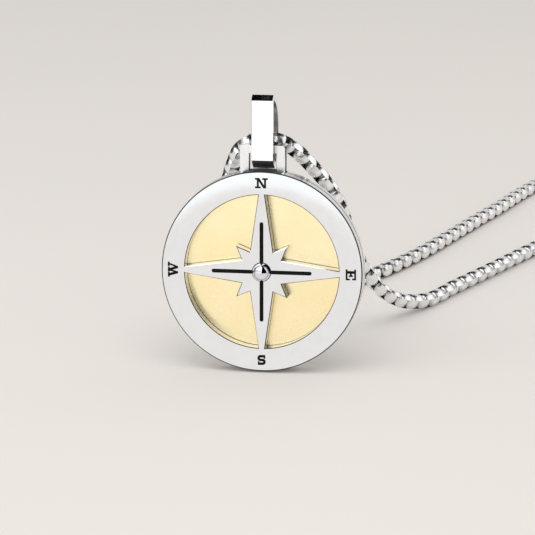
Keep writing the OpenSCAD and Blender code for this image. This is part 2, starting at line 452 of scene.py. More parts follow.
@dataclass(frozen=True)
class Finishes:
    """All the materials of the pendant, each made once."""

    polished: Material = made_by(MetalFinish(
        "polished_steel", (0.92, 0.92, 0.93), (0.96, 0.96, 0.97), (0.04, 0.08), 0.0003, 0.002))
    mirror: Material = made_by(MetalFinish(
        "mirror_steel", (0.70, 0.71, 0.76), (0.75, 0.76, 0.81), (0.02, 0.04), 0.0002, 0.001))
    soldered: Material = made_by(MetalFinish(
        "soldered_steel", (0.76, 0.76, 0.77), (0.85, 0.85, 0.86), (0.24, 0.34), 0.003, 0.006))
    rim: Material = made_by(MetalFinish(
        "brushed_rim", (0.90, 0.90, 0.91), (0.95, 0.95, 0.96), (0.22, 0.30), 0.0004, 0.002))
    # Rougher steel, darkened with painted shade, for the inside of the bail's loop.
    inner: Material = made_by(MetalFinish(
        "unpolished_steel", (0.58, 0.58, 0.58), (0.76, 0.76, 0.76), (0.26, 0.38), 0.003, 0.004))
    # Painted shade under the bail and by the staple.
    under_bail_shade: Material = made_by(MilledFinish(
        "flame_marked_steel", (0.02, 0.02, 0.02), (0.05, 0.05, 0.05)))
    # Painted shade lines along the chamfers, the seam, the walls' feet, the posts and the ball's
    # foot.
    shade_line: Material = made_by(MilledFinish(
        "burnished_edge", (0.008, 0.008, 0.008), (0.02, 0.02, 0.02)))
    # Two painted copies of the wall steel: darker for walls in shade, lighter for the window's
    # walls and walls lit from above.
    shaded_wall: Material = made_by(MetalFinish(
        "milled_needle_wall", (0.60, 0.60, 0.64), (0.72, 0.72, 0.76), (0.18, 0.28), 0.001, 0.002))
    lit_wall: Material = made_by(MetalFinish(
        "turned_window_wall", (0.78, 0.77, 0.78), (0.90, 0.89, 0.90), (0.12, 0.22), 0.001, 0.002))
    satin: Material = made_by(MetalFinish(
        "satin_steel", (0.815, 0.84, 0.87), (0.85, 0.875, 0.90), (0.035, 0.06), 0.0003, 0.002))
    gold: Material = made_by(GoldFinish())
    enamel: Material = made_by(EnamelFinish())
    chain: Material = made_by(ChainFinish())


# Mesh helpers


def whole(mesh: BMesh) -> list[BMVert | BMEdge | BMFace]:
    """Return all the vertices, edges and faces of a mesh."""
    return mesh.verts[:] + mesh.edges[:] + mesh.faces[:]


def is_corner(edge: BMEdge) -> bool:
    """Say whether two faces meet at an edge in a corner."""
    return edge.calc_face_angle(0) > CORNER


def bevel_edges(mesh: BMesh, edges: Iterable[BMEdge], width: float, segments: int = 1) -> None:
    """Bevel edges by a width in the mesh's own units."""
    bmesh.ops.bevel(mesh, geom=list(edges), offset=width, offset_type="OFFSET", affect="EDGES",
                    segments=segments, profile=0.5, material=-1, clamp_overlap=True)


def sharp_edges(mesh: BMesh, angle_deg: float) -> None:
    """Shade smooth up to an angle, and keep the edges over it crisp.

    Args:
        mesh: The mesh.
        angle_deg: The angle between two faces, in degrees.
    """
    limit = math.radians(angle_deg)
    for face in mesh.faces:
        face.smooth = True
    for edge in mesh.edges:
        edge.smooth = len(edge.link_faces) == 2 and edge.calc_face_angle(math.pi) < limit


def coat_faces(mesh: BMesh, coat: Callable[[BMFace], IntEnum]) -> None:
    """Give each face the finish that a rule names for it."""
    for face in mesh.faces:
        face.material_index = coat(face).value


def pull(mesh: BMesh, swept: dict[str, list], step: Triple) -> None:
    """Move the vertices that an extrusion has just made."""
    moved = [item for item in swept["geom"] if isinstance(item, BMVert)]
    bmesh.ops.translate(mesh, verts=moved, vec=step)


def thicken(mesh: BMesh, depth: float) -> None:
    """Pull flat faces into a closed plate that reaches a depth further back."""
    pull(mesh, bmesh.ops.extrude_face_region(mesh, geom=mesh.faces[:]), (0, depth, 0))
    bmesh.ops.recalc_face_normals(mesh, faces=mesh.faces)


def plate_mesh(outline: Iterable[Pair], front: float, back: float) -> BMesh:
    """Make a flat plate.

    Args:
        outline: Its outline as across and height.
        front: The depth of its front.
        back: The depth of its back.

    Returns:
        The plate as a closed mesh.
    """
    mesh = bmesh.new()
    mesh.faces.new([mesh.verts.new((across, front, height)) for across, height in outline])
    thicken(mesh, back - front)
    return mesh


def turned_mesh(profile: Iterable[Pair], steps: int) -> BMesh:
    """Spin a profile about the dial's axis.

    Args:
        profile: Points as radius and depth, from one end of the axis to the other.
        steps: Number of steps round the axis.

    Returns:
        A closed mesh round the dial's centre.
    """
    mesh = bmesh.new()
    verts = [mesh.verts.new((radius, depth, 0)) for radius, depth in profile]
    for first, second in zip(verts, verts[1:]):
        mesh.edges.new((first, second))
    bmesh.ops.spin(mesh, geom=whole(mesh), axis=(0, 1, 0), cent=(0, 0, 0), angle=math.tau,
                   steps=steps, use_merge=True)
    bmesh.ops.remove_doubles(mesh, verts=mesh.verts, dist=WELD)
    bmesh.ops.recalc_face_normals(mesh, faces=mesh.faces)
    return mesh


def arc(centre: Pair, radius: float, start_deg: float, end_deg: float, steps: int) -> list[Pair]:
    """Return points along an arc, both ends included."""
    angles = [math.radians(start_deg + (end_deg - start_deg) * k / steps) for k in range(steps + 1)]
    return [(centre[0] + radius * math.cos(a), centre[1] + radius * math.sin(a)) for a in angles]


def circle(centre: Pair, radius: float, steps: int) -> list[Pair]:
    """Return points round a circle, each once."""
    return arc(centre, radius, 0, 360, steps)[:-1]


def as_data(name: str, mesh: BMesh) -> Mesh:
    """Turn a mesh under construction into mesh data.

    Args:
        name: The data's name.
        mesh: The mesh. It is freed.

    Returns:
        The data.
    """
    data = bpy.data.meshes.new(name)
    mesh.to_mesh(data)
    mesh.free()
    return data


def add_object(name: str, data: ID) -> Object:
    """Add an object to the scene.

    Args:
        name: The object's name.
        data: The mesh, light or camera that it holds.

    Returns:
        The object.
    """
    made = bpy.data.objects.new(name, data)
    bpy.context.scene.collection.objects.link(made)
    return made


def combined(target: BMesh, tools: Iterable[BMesh], operation: Operation) -> BMesh:
    """Join solids to a solid or cut them from it, and close the small gaps left at a cut.

    Args:
        target: The solid that is changed. It is freed.
        tools: The solids joined or cut away. They are freed.
        operation: Whether they are joined or cut away.

    Returns:
        The new solid.
    """
    holders = [add_object("solid", as_data("solid", solid)) for solid in (target, *tools)]
    main, *others = holders
    for other in others:
        step = main.modifiers.new("boolean", "BOOLEAN")
        step.operation = operation.value
        step.solver = "EXACT"
        step.object = other
    result = bmesh.new()
    result.from_object(main, bpy.context.evaluated_depsgraph_get())
    for holder in holders:
        data = holder.data
        bpy.data.objects.remove(holder)
        bpy.data.meshes.remove(data)
    bmesh.ops.remove_doubles(result, verts=result.verts, dist=WELD)
    gaps = [edge for edge in result.edges if edge.is_boundary]
    bmesh.ops.holes_fill(result, edges=gaps, sides=4)
    bmesh.ops.recalc_face_normals(result, faces=result.faces)
    return result


@dataclass
class Piece:
    """What a finished mesh needs to become a piece of the pendant."""

    name: str
    material: Material
    slot: Slot
    replaces: tuple[str, ...] = ()
    body: Body = Body.ROOT
    crisp_deg: float = 20.0
    others: tuple[Material, ...] = ()

    def finish(self, mesh: BMesh, place: Matrix) -> Object:
        """Place a mesh, make it an object and hang it on its body.

        Args:
            mesh: The mesh in its own units. It is freed.
            place: The transform to the scene's metres.

        Returns:
            The finished object, whose place is in its mesh.
        """
        sharp_edges(mesh, self.crisp_deg)
        bmesh.ops.transform(mesh, matrix=place, verts=mesh.verts)
        piece = add_object(self.name, as_data(self.name, mesh))
        for material in (self.material, *self.others):
            piece.data.materials.append(material)
        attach(piece, self.body.value)
        if self.replaces:
            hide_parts(*self.replaces)
        LOG.info("%s: %d faces", self.name, len(piece.data.polygons))
        return piece


# The medallion


@dataclass
class DialPlate:
    """The front plate: a flat ring and a pierced eight-point rose, engraved for its enamel.

    The last three values are the least parts of a face's normal along an axis for a level face,
    for a chamfer facing right, which gets a painted shade line, and for a wall facing up, which
    gets the lighter painted copy of the wall steel.
    """

    ring_r: float = 14.0
    window_r: float = 10.75
    thickness: float = 1.8
    edge_chamfer: float = 0.15
    seam_chamfer: float = 0.1
    needle_chamfer: float = 0.1
    needle_tip_half: float = 0.38
    needle_tip_r: float = 11.25
    needle_base: Pair = (1.62, 2.77)
    short_point_r: float = 5.03
    arc_steps: int = 24
    fill_gap: float = 0.03
    letter_nodes: tuple[str, ...] = tuple(f"letter_{point}" for point in "nesw")
    letter_growth: float = 0.03
    letter_flat_deg: float = 1.0
    mitre_least: float = 0.4
    line_nodes: tuple[str, ...] = tuple(f"line_{point}" for point in "nesw")
    line_w: float = 0.54
    line_start_r: float = 0.95
    line_end_r: float = 6.98
    line_front: float = 0.02
    line_steps: int = 8
    line_crisp_deg: float = 40.0
    pocket_depth: float = 0.38
    sink_w: float = 0.0972
    sink_depths: Pair = (0.035, 0.025)
    # Depth of the strip at the foot of each wall that gets a painted shade line.
    wall_shade: float = 0.16
    wall_margin: float = 0.1
    bail_shade_half_w: float = 2.6
    level_part: float = 0.95
    right_part: float = 0.4
    top_part: float = 0.6

    def eighth(self) -> list[Pair]:
        """Draw the outline from the north axis to the north-east diagonal.

        Returns:
            Its points as across and height.
        """
        base = Vector(self.needle_base)
        tip = Vector((self.needle_tip_half, self.needle_tip_r))
        root = intersect_line_sphere_2d(base, tip, Vector((0, 0)), self.window_r)[0]
        root_deg = math.degrees(math.atan2(root.y, root.x))
        short = self.short_point_r / math.sqrt(2)
        return [(0.0, 0.0), *arc((0, 0), self.ring_r, 90, 45, self.arc_steps),
                *arc((0, 0), self.window_r, 45, root_deg, self.arc_steps),
                tuple(base), (short, short)]

    def blank(self) -> BMesh:
        """Make the plate before it is engraved.

        Returns:
            The plate as a closed mesh.
        """
        mesh = bmesh.new()
        mesh.faces.new([mesh.verts.new((across, 0, up)) for across, up in self.eighth()])
        bmesh.ops.mirror(mesh, geom=whole(mesh), merge_dist=WELD, axis="X")
        bmesh.ops.spin(mesh, geom=whole(mesh), axis=(0, 1, 0), cent=(0, 0, 0),
                       angle=math.tau * 3 / 4, steps=3, use_duplicate=True)
        bmesh.ops.remove_doubles(mesh, verts=mesh.verts, dist=WELD)
        thicken(mesh, self.thickness)
        return mesh

    def is_outline(self, edge: BMEdge, depth: float) -> bool:
        """Say whether an edge runs along the plate's outline at a depth."""
        return is_corner(edge) and all(abs(vert.co.y - depth) < WELD for vert in edge.verts)

    def on_rim(self, edge: BMEdge) -> bool:
        """Say whether an edge lies on the outer rim."""
        reach = self.ring_r - self.edge_chamfer / 2
        return all(math.hypot(vert.co.x, vert.co.z) > reach for vert in edge.verts)

    def chamfer(self, mesh: BMesh) -> None:
        """Chamfer the rim's front, the rim's seam to the back plate, and the rose and window.

        Args:
            mesh: The blank plate.
        """
        for depth, on_rim, width in ((0, True, self.edge_chamfer),
                                     (self.thickness, True, self.seam_chamfer),
                                     (0, False, self.needle_chamfer)):
            bevel_edges(mesh, [edge for edge in mesh.edges if self.is_outline(edge, depth)
                               and self.on_rim(edge) == on_rim], width)

    def line_bar(self, front: float, gap: float) -> BMesh:
        """Make one bar of a line, up the north axis, from under the ball to its round end.

        Args:
            front: Depth of its front.
            gap: How much narrower it is than its pocket, all round.

        Returns:
            The bar as a closed solid.
        """
        half = self.line_w / 2 - gap
        end = (0, self.line_end_r - self.line_w / 2)
        outline = [(half, self.line_start_r + gap), *arc(end, half, 0, 180, self.line_steps),
                   (-half, self.line_start_r + gap)]
        return plate_mesh(outline, front, self.pocket_depth)

    def turned(self, mesh: BMesh, quarter: int) -> BMesh:
        """Turn a mesh by quarters about the dial's axis, and return it.

        Args:
            mesh: The mesh.
            quarter: The number of quarters, clockwise as the face is seen.

        Returns:
            The same mesh.
        """
        turn = Matrix.Rotation(math.radians(90 * quarter), 3, "Y")
        bmesh.ops.rotate(mesh, matrix=turn, verts=mesh.verts)
        return mesh

    def grown_letter(self, name: str, growth: float) -> BMesh:
        """Take a letter's fill from its node, with its strokes grown sideways.

        Args:
            name: The letter's CAD node.
            growth: How far its sides move out.

        Returns:
            The letter round the dial's centre.
        """
        letter = bmesh.new()
        letter.from_mesh(bpy.data.objects[name].data)
        bmesh.ops.transform(letter, matrix=STAND.dial().inverted(), verts=letter.verts)
        bmesh.ops.remove_doubles(letter, verts=letter.verts, dist=WELD)
        bmesh.ops.dissolve_limit(letter, angle_limit=math.radians(self.letter_flat_deg),
                                 verts=letter.verts, edges=letter.edges)
        bmesh.ops.recalc_face_normals(letter, faces=letter.faces)
        moves = []
        for vert in letter.verts:
            sides = [face.normal for face in vert.link_faces if abs(face.normal.y) < FACING]
            out = sum(sides, Vector()).normalized()
            moves.append(out * growth / max(self.mitre_least, min(map(out.dot, sides))))
        for vert, move in zip(letter.verts, moves):
            vert.co += move
        return letter

    def pockets(self) -> Iterable[BMesh]:
        """Make a cutter for each line and each letter, open to the front.

        Yields:
            The cutters, one after another.
        """
        for quarter in range(4):
            yield self.turned(self.line_bar(-self.edge_chamfer, 0), quarter)
        for name in self.letter_nodes:
            cutter = self.grown_letter(name, self.letter_growth + self.fill_gap / 2)
            front = [vert for vert in cutter.verts if vert.co.y < self.pocket_depth / 2]
            bmesh.ops.translate(cutter, verts=front, vec=(0, -self.edge_chamfer, 0))
            yield cutter

    def fill_lines(self, finishes: Finishes) -> None:
        """Lay the enamel in the four lines, sunk along its middle as it cools.

        Args:
            finishes: The pendant's materials.
        """
        for quarter, name in enumerate(self.line_nodes):
            mesh = self.line_bar(self.line_front, self.fill_gap / 2)
            front = next(face for face in mesh.faces if face.normal.y < -FACING)
            for depth in self.sink_depths:
                bmesh.ops.inset_region(mesh, faces=[front], thickness=self.sink_w, depth=-depth,
                                       use_even_offset=True)
            piece = Piece(f"enamel_{name}", finishes.enamel, Slot.ENAMEL, (name,),
                          crisp_deg=self.line_crisp_deg)
            piece.finish(self.turned(mesh, quarter), STAND.dial())

    def fill_letters(self, finishes: Finishes) -> None:
        """Lay the enamel in the four letters.

        Args:
            finishes: The pendant's materials.
        """
        for name in self.letter_nodes:
            piece = Piece(f"enamel_{name}", finishes.enamel, Slot.ENAMEL, (name,))
            piece.finish(self.grown_letter(name, self.letter_growth), STAND.dial())

    def coat(self, face: BMFace) -> DialCoat:
        """Choose a face's finish: front, rim, painted shade lines, painted shade under the bail, or
        the lit or shaded painted copy of the wall steel.

        Args:
            face: A face of the plate, drawn round the dial's centre.

        Returns:
            Its finish.
        """
        middle, normal = face.calc_center_median(), face.normal
        radius = math.hypot(middle.x, middle.z)
        outer = radius > self.ring_r - self.edge_chamfer
        at_window = abs(radius - self.window_r) < self.wall_margin
        if abs(normal.y) > self.level_part:
            return DialCoat.SATIN
        if abs(normal.y) > EDGE_ON:
            # Chamfers of the rim and the window, and chamfers facing right, get a painted shade
            # line.
            lined = outer or at_window or normal.x > self.right_part
            return DialCoat.SHADE_LINE if lined else DialCoat.SATIN
        if outer:
            # The rim under the bail gets painted shade.
            under_bail = middle.z > 0 and abs(middle.x) < self.bail_shade_half_w
            return DialCoat.SHADE_UNDER_BAIL if under_bail else DialCoat.RIM
        if radius >= self.window_r + self.wall_margin:
            return DialCoat.SATIN
        # The strip at the foot of each wall, where it meets the gold, gets a painted shade line.
        if middle.y > self.thickness - self.wall_shade:
            return DialCoat.SHADE_LINE
        # Window walls and walls facing up get the lighter painted copy of the wall steel, the other
        # needle walls the darker one.
        lit = at_window or normal.z > self.top_part
        return DialCoat.LIT_WALL if lit else DialCoat.SHADED_WALL

    def build(self, finishes: Finishes) -> Object:
        """Build the plate and its enamel and dress them.

        Args:
            finishes: The pendant's materials.

        Returns:
            The plate.
        """
        mesh = self.blank()
        self.chamfer(mesh)
        mesh = combined(mesh, self.pockets(), Operation.DIFFERENCE)
        # Cut the walls where the painted shade line at their foot begins.
        bmesh.ops.bisect_plane(mesh, geom=whole(mesh), dist=WELD, plane_no=(0, 1, 0),
                               plane_co=(0, self.thickness - self.wall_shade, 0))
        coat_faces(mesh, self.coat)
        self.fill_lines(finishes)
        self.fill_letters(finishes)
        piece = Piece("dial_plate", finishes.satin, Slot.SATIN, ("front_plate",),
                      others=(finishes.shaded_wall, finishes.lit_wall, finishes.under_bail_shade,
                              finishes.shade_line, finishes.rim))
        return piece.finish(mesh, STAND.dial())


@dataclass
class BackPlate:
    """The back plate with its pocket for the gold disc, and the staple soldered on its rim.

    The last value is the least part of a face's normal sideways for the side of a post, which gets
    a painted shade line.
    """

    radius: float = 14.0
    front: float = 1.85
    back: float = 3.2
    chamfer: float = 0.12
    pocket_r: float = 11.75
    pocket_back: float = 2.4
    seam_margin: float = 1.0
    staple_shade_depth: float = 1.0
    rim_steps: int = 192
    staple_w: float = 6.35
    post_w: float = 1.3
    staple_shift: float = -0.14
    staple_depth: float = 1.0
    staple_rise: float = 3.3
    crossbar_t: float = 1.1
    root: float = 0.8
    corner_r: float = 0.35
    corner_steps: int = 4
    staple_bevel: float = 0.07
    bevel_steps: int = 2
    side_part: float = 0.6

    def plate(self) -> BMesh:
        """Make the round plate.

        Returns:
            The plate as a closed mesh.
        """
        inner = self.radius - self.chamfer
        return turned_mesh([
            (0, self.pocket_back), (self.pocket_r, self.pocket_back), (self.pocket_r, self.front),
            (inner, self.front), (self.radius, self.front + self.chamfer),
            (self.radius, self.back - self.chamfer), (inner, self.back), (0, self.back),
        ], self.rim_steps)

    def coat(self, face: BMFace) -> BackCoat:
        """Choose a face's finish: painted shade by the staple, a painted shade line in the seam,
        the rim or the back.

        Args:
            face: A face of the round plate.

        Returns:
            Its finish.
        """
        middle = face.calc_center_median()
        radius = math.hypot(middle.x, middle.z)
        # The top of the plate by the staple gets painted shade.
        if middle.z > self.radius - self.staple_shade_depth and abs(middle.x) < self.staple_w / 2:
            return BackCoat.SHADE_UNDER_BAIL
        # The seam's chamfer gets a painted shade line.
        at_seam = self.front < middle.y < self.front + self.chamfer
        if at_seam and radius > self.pocket_r + self.seam_margin:
            return BackCoat.SHADE_LINE
        on_rim = abs(face.normal.y) < EDGE_ON and middle.y > self.front
        return BackCoat.RIM if on_rim else BackCoat.POLISHED

    def staple(self) -> BMesh:
        """Make the inverted U.

        Returns:
            The staple as a closed mesh round the dial's centre.
        """
        half = self.staple_w / 2
        inside = half - self.post_w
        top = self.radius + self.staple_rise
        low = self.radius - self.root
        corner_x, corner_z = half - self.corner_r, top - self.corner_r
        outline = [
            (-half, low), *arc((-corner_x, corner_z), self.corner_r, 180, 90, self.corner_steps),
            *arc((corner_x, corner_z), self.corner_r, 90, 0, self.corner_steps), (half, low),
            (inside, low), (inside, top - self.crossbar_t), (-inside, top - self.crossbar_t),
            (-inside, low)]
        mesh = plate_mesh(outline, self.front, self.front + self.staple_depth)
        bevel_edges(mesh, filter(is_corner, mesh.edges), self.staple_bevel, self.bevel_steps)
        bmesh.ops.translate(mesh, verts=mesh.verts, vec=(self.staple_shift, 0, 0))
        return mesh

    def staple_coat(self, face: BMFace) -> Coat:
        """Choose the painted shade line for the sides of the staple's posts."""
        return Coat.SECOND if abs(face.normal.x) > self.side_part else Coat.MAIN

    def build(self, finishes: Finishes) -> Object:
        """Build the plate and its staple and dress them.

        Args:
            finishes: The pendant's materials.

        Returns:
            The plate.
        """
        plate, staple = self.plate(), self.staple()
        coat_faces(plate, self.coat)
        coat_faces(staple, self.staple_coat)
        Piece("staple", finishes.soldered, Slot.POLISHED, ("case",),
              others=(finishes.shade_line,)).finish(staple, STAND.dial())
        piece = Piece("back_plate", finishes.polished, Slot.POLISHED, ("case",),
                      others=(finishes.under_bail_shade, finishes.shade_line, finishes.rim))
        return piece.finish(plate, STAND.dial())


@dataclass
class CentreBall:
    """The polished half ball on its stem, with a thin line of painted shade at its foot, where it
    meets the plate.
    """

    radius: float = 1.275
    seat: float = 0.03
    foot_r: float = 1.36
    foot_lift: float = 0.012
    stem_r: float = 0.7
    stem_back: float = 1.8
    steps: int = 24
    round_steps: int = 64

    def coat(self, face: BMFace) -> Coat:
        """Choose the painted shade line for the foot."""
        middle = face.calc_center_median()
        return Coat.SECOND if math.hypot(middle.x, middle.z) > self.radius else Coat.MAIN

    def build(self, finishes: Finishes) -> Object:
        """Build the ball and dress it.

        Args:
            finishes: The pendant's materials.

        Returns:
            The ball.
        """
        seat_deg = math.degrees(math.asin(self.seat / self.radius))
        dome = [(across, -depth)
                for across, depth in arc((0, 0), self.radius, 90, seat_deg, self.steps)]
        mesh = turned_mesh([*dome, (self.foot_r, -self.foot_lift * 2),
                            (self.foot_r, -self.foot_lift), (self.stem_r, -self.foot_lift),
                            (self.stem_r, self.stem_back), (0, self.stem_back)], self.round_steps)
        coat_faces(mesh, self.coat)
        piece = Piece("polished_ball", finishes.mirror, Slot.POLISHED, ("centre_ball",),
                      others=(finishes.shade_line,))
        return piece.finish(mesh, STAND.dial())


@dataclass
class StrapBail:
    """The flat strap bent into a loop through the staple, flat in front and bowed behind.

    The points of the loop are depth and height above the medallion's rim.
    """

    width: float = 3.0
    thickness: float = 0.64
    rim_z: float = 28.0
    front_low: Pair = (0.6, 1.42)
    front_high: Pair = (0.6, 9.68)
    crown: Pair = (1.5, 10.38)
    back: Pair = (6.15, 3.4)
    heel: Pair = (2.1, 0.17)
    crown_handle: Pair = (4.6, 9.4)
    back_handle_high: Pair = (6.6, 8.2)
    back_handle_low: Pair = (6.35, 1.6)
    heel_handle: Pair = (4.7, 0.2)
    eye: Pair = (3.6, 5.6)
    bow_points: int = 22
    heel_points: int = 14
    edge_bevel: float = 0.045

    def outline(self) -> list[Vector]:
        """Draw the outside of the loop.

        Returns:
            Its points as depth and height above the rim.
        """
        bow = interpolate_bezier(*map(Vector, (self.crown, self.crown_handle,
                                               self.back_handle_high, self.back)), self.bow_points)
        heel = interpolate_bezier(*map(Vector, (self.back, self.back_handle_low,
                                                self.heel_handle, self.heel)), self.heel_points)
        return [Vector(self.front_low), Vector(self.front_high), *bow, *heel[1:]]

    def strap(self) -> BMesh:
        """Make the strap with square edges.

        Returns:
            The strap as a closed mesh.
        """
        mesh = bmesh.new()
        verts = [mesh.verts.new((-self.width / 2, depth, self.rim_z + height))
                 for depth, height in self.outline()]
        edges = [mesh.edges.new(ends) for ends in zip(verts, verts[1:] + verts[:1])]
        pull(mesh, bmesh.ops.extrude_edge_only(mesh, edges=edges), (self.width, 0, 0))
        bmesh.ops.recalc_face_normals(mesh, faces=mesh.faces)
        front = min(mesh.faces, key=lambda face: face.calc_center_median().y)
        if front.normal.y > 0:
            bmesh.ops.reverse_faces(mesh, faces=mesh.faces)
        bmesh.ops.solidify(mesh, geom=mesh.faces[:], thickness=self.thickness)
        bmesh.ops.recalc_face_normals(mesh, faces=mesh.faces)
        return mesh

    def is_side_edge(self, edge: BMEdge) -> bool:
        """Say whether an edge runs along a side of the strap.

        Args:
            edge: An edge of the square strap.

        Returns:
            True for a corner whose two ends lie at the same side.
        """
        first, second = (vert.co.x for vert in edge.verts)
        at_side = abs(abs(first) - self.width / 2) < WELD
        return at_side and abs(first - second) < WELD and is_corner(edge)

    def coat(self, face: BMFace) -> Coat:
        """Choose the rougher finish, darkened with painted shade, for the inside of the loop.

        Args:
            face: A face of the strap.

        Returns:
            Its finish.
        """
        middle = face.calc_center_median()
        depth, height = self.eye
        inward = Vector((0, depth - middle.y, self.rim_z + height - middle.z))
        # Faces inside the loop get the rougher steel with painted shade.
        inside = abs(face.normal.x) < EDGE_ON and face.normal.dot(inward) > 0
        return Coat.SECOND if inside else Coat.MAIN

    def build(self, finishes: Finishes) -> Object:
        """Build the bail and dress it.

        Args:
            finishes: The pendant's materials.

        Returns:
            The bail.
        """
        mesh = self.strap()
        bevel_edges(mesh, filter(self.is_side_edge, mesh.edges), self.edge_bevel)
        coat_faces(mesh, self.coat)
        piece = Piece("strap_bail", finishes.polished, Slot.POLISHED, ("bail",), Body.BAIL,
                      others=(finishes.inner,))
        return piece.finish(mesh, STAND.matrix())


# The chain


@dataclass
class Route:
    """A stretch of chain: the points that it follows, in millimetres of the scene.

    The rolls are pairs of a distance along the route and the chain's turn about itself there,
    in degrees, positive where its top leans towards the side.
    """

    points: list[Triple]
    rolls: list[Pair]
    steps: int = 16

    def roll_at(self, distance: float) -> float:
        """Work out the chain's turn about itself.

        Args:
            distance: The distance along the route.

        Returns:
            The turn there, in radians.
        """
        for (start, first), (end, last) in zip(self.rolls, self.rolls[1:]):
            if distance <= end:
                share = (distance - start) / (end - start)
                return math.radians(first + (last - first) * share)
        return math.radians(self.rolls[-1][1])

    def smooth(self) -> list[Vector]:
        """Draw a smooth curve through the route's points.

        Each handle lies a sixth of the way between the two neighbours of its point.

        Returns:
            Close points on the curve.
        """
        places = [Vector(point) for point in self.points]
        ends = [2 * places[0] - places[1], *places, 2 * places[-1] - places[-2]]
        line = []
        for before, here, after, beyond in zip(ends, ends[1:], ends[2:], ends[3:]):
            out_handle = here + (after - before) / 6
            in_handle = after - (beyond - here) / 6
            line += interpolate_bezier(here, out_handle, in_handle, after, self.steps + 1)[:-1]
        return [*line, places[-1]]

    def stations(self, pitch: float) -> list[tuple[Vector, Vector, float]]:
        """Find evenly spaced places along the route.

        Args:
            pitch: The wanted spacing, which is stretched a little to fill the route.

        Returns:
            Each place, with the unit direction and the roll of the route there.
        """
        line = self.smooth()
        reach = [0.0]
        for first, second in zip(line, line[1:]):
            reach.append(reach[-1] + (second - first).length)
        count = round(reach[-1] / pitch)
        found, piece = [], 0
        for k in range(count + 1):
            goal = reach[-1] * k / count
            while piece < len(line) - 2 and reach[piece + 1] < goal:
                piece += 1
            direction = (line[piece + 1] - line[piece]).normalized()
            place = line[piece] + direction * (goal - reach[piece])
            found.append((place, direction, self.roll_at(goal)))
        return found


RIGHT_ROUTE = Route([
    (0, 3.2, 31.8), (2, 3.2, 31.4), (3.9, 4.6, 29.9), (5.8, 6.2, 27.4),
    (7.8, 8.1, 24.3), (9.1, 10.2, 21.1), (9.8, 12.6, 17.2), (10.4, 15.2, 13.2), (11.8, 18.4, 9.2),
    (13.6, 21.8, 5.4), (16.1, 26.6, 2.5),
    (19.2, 32.6, 1.1), (22, 39.4, 1.1), (24.6, 45.4, 1.1), (27.2, 51.4, 1.1), (29.8, 57.6, 1.1),
    (32.6, 64, 1.1), (36, 70, 1.1), (41, 75, 1.1), (47.6, 77.6, 1.1), (54.6, 77.8, 1.1),
    (61.6, 76.6, 1.1), (68.6, 74.4, 1.1), (75.6, 71.8, 1.1), (82.6, 69.4, 1.1), (89.8, 67.4, 1.1),
    (97.2, 66.2, 1.1), (104.6, 66, 1.1), (112, 66.8, 1.1), (119.2, 68.8, 1.1), (126, 72, 1.1),
    (132.4, 76.4, 1.1), (138.2, 81.8, 1.1), (141.2, 88.4, 1.1)],
    [(0, 40), (22, 40), (48, 30), (74, 28), (92, 6), (209, 6)])
LEFT_ROUTE = Route([
    (0, 3.2, 31.8), (-2, 3.2, 31.4), (-3.8, 4.4, 30), (-5.2, 6.6, 27.4),
    (-6.4, 8.8, 24.2), (-7.4, 11.6, 19.6), (-8, 14.6, 14.6), (-8, 17.8, 9.8), (-7.2, 21.4, 5.6),
    (-5, 25.8, 2.8), (-1.6, 31, 1.3),
    (2.4, 36.6, 1.1), (6.6, 42, 1.1), (10.2, 47.6, 1.1), (13, 53.8, 1.1), (15.6, 60.6, 1.1),
    (17.8, 67.6, 1.1), (20, 74.8, 1.1), (22.2, 82, 1.1), (24.6, 89.4, 1.1), (26.6, 96.6, 1.1),
    (28.8, 103.8, 1.1), (31.6, 110.6, 1.1), (35, 117, 1.1), (39.2, 123, 1.1), (44.2, 128.4, 1.1),
    (50, 133, 1.1), (56.4, 136.8, 1.1), (63.2, 139.6, 1.1), (70.4, 141.4, 1.1), (77.6, 142.6, 1.1),
    (85, 143.2, 1.1), (92.4, 143, 1.1), (99.8, 142, 1.1), (107, 140, 1.1), (113.8, 137, 1.1),
    (120.2, 133.2, 1.1), (126.2, 128.6, 1.1), (131.6, 123.2, 1.1), (136.2, 117, 1.1),
    (139.8, 110.2, 1.1), (141.2, 103, 1.1)],
    [(0, 0), (276, 0)])


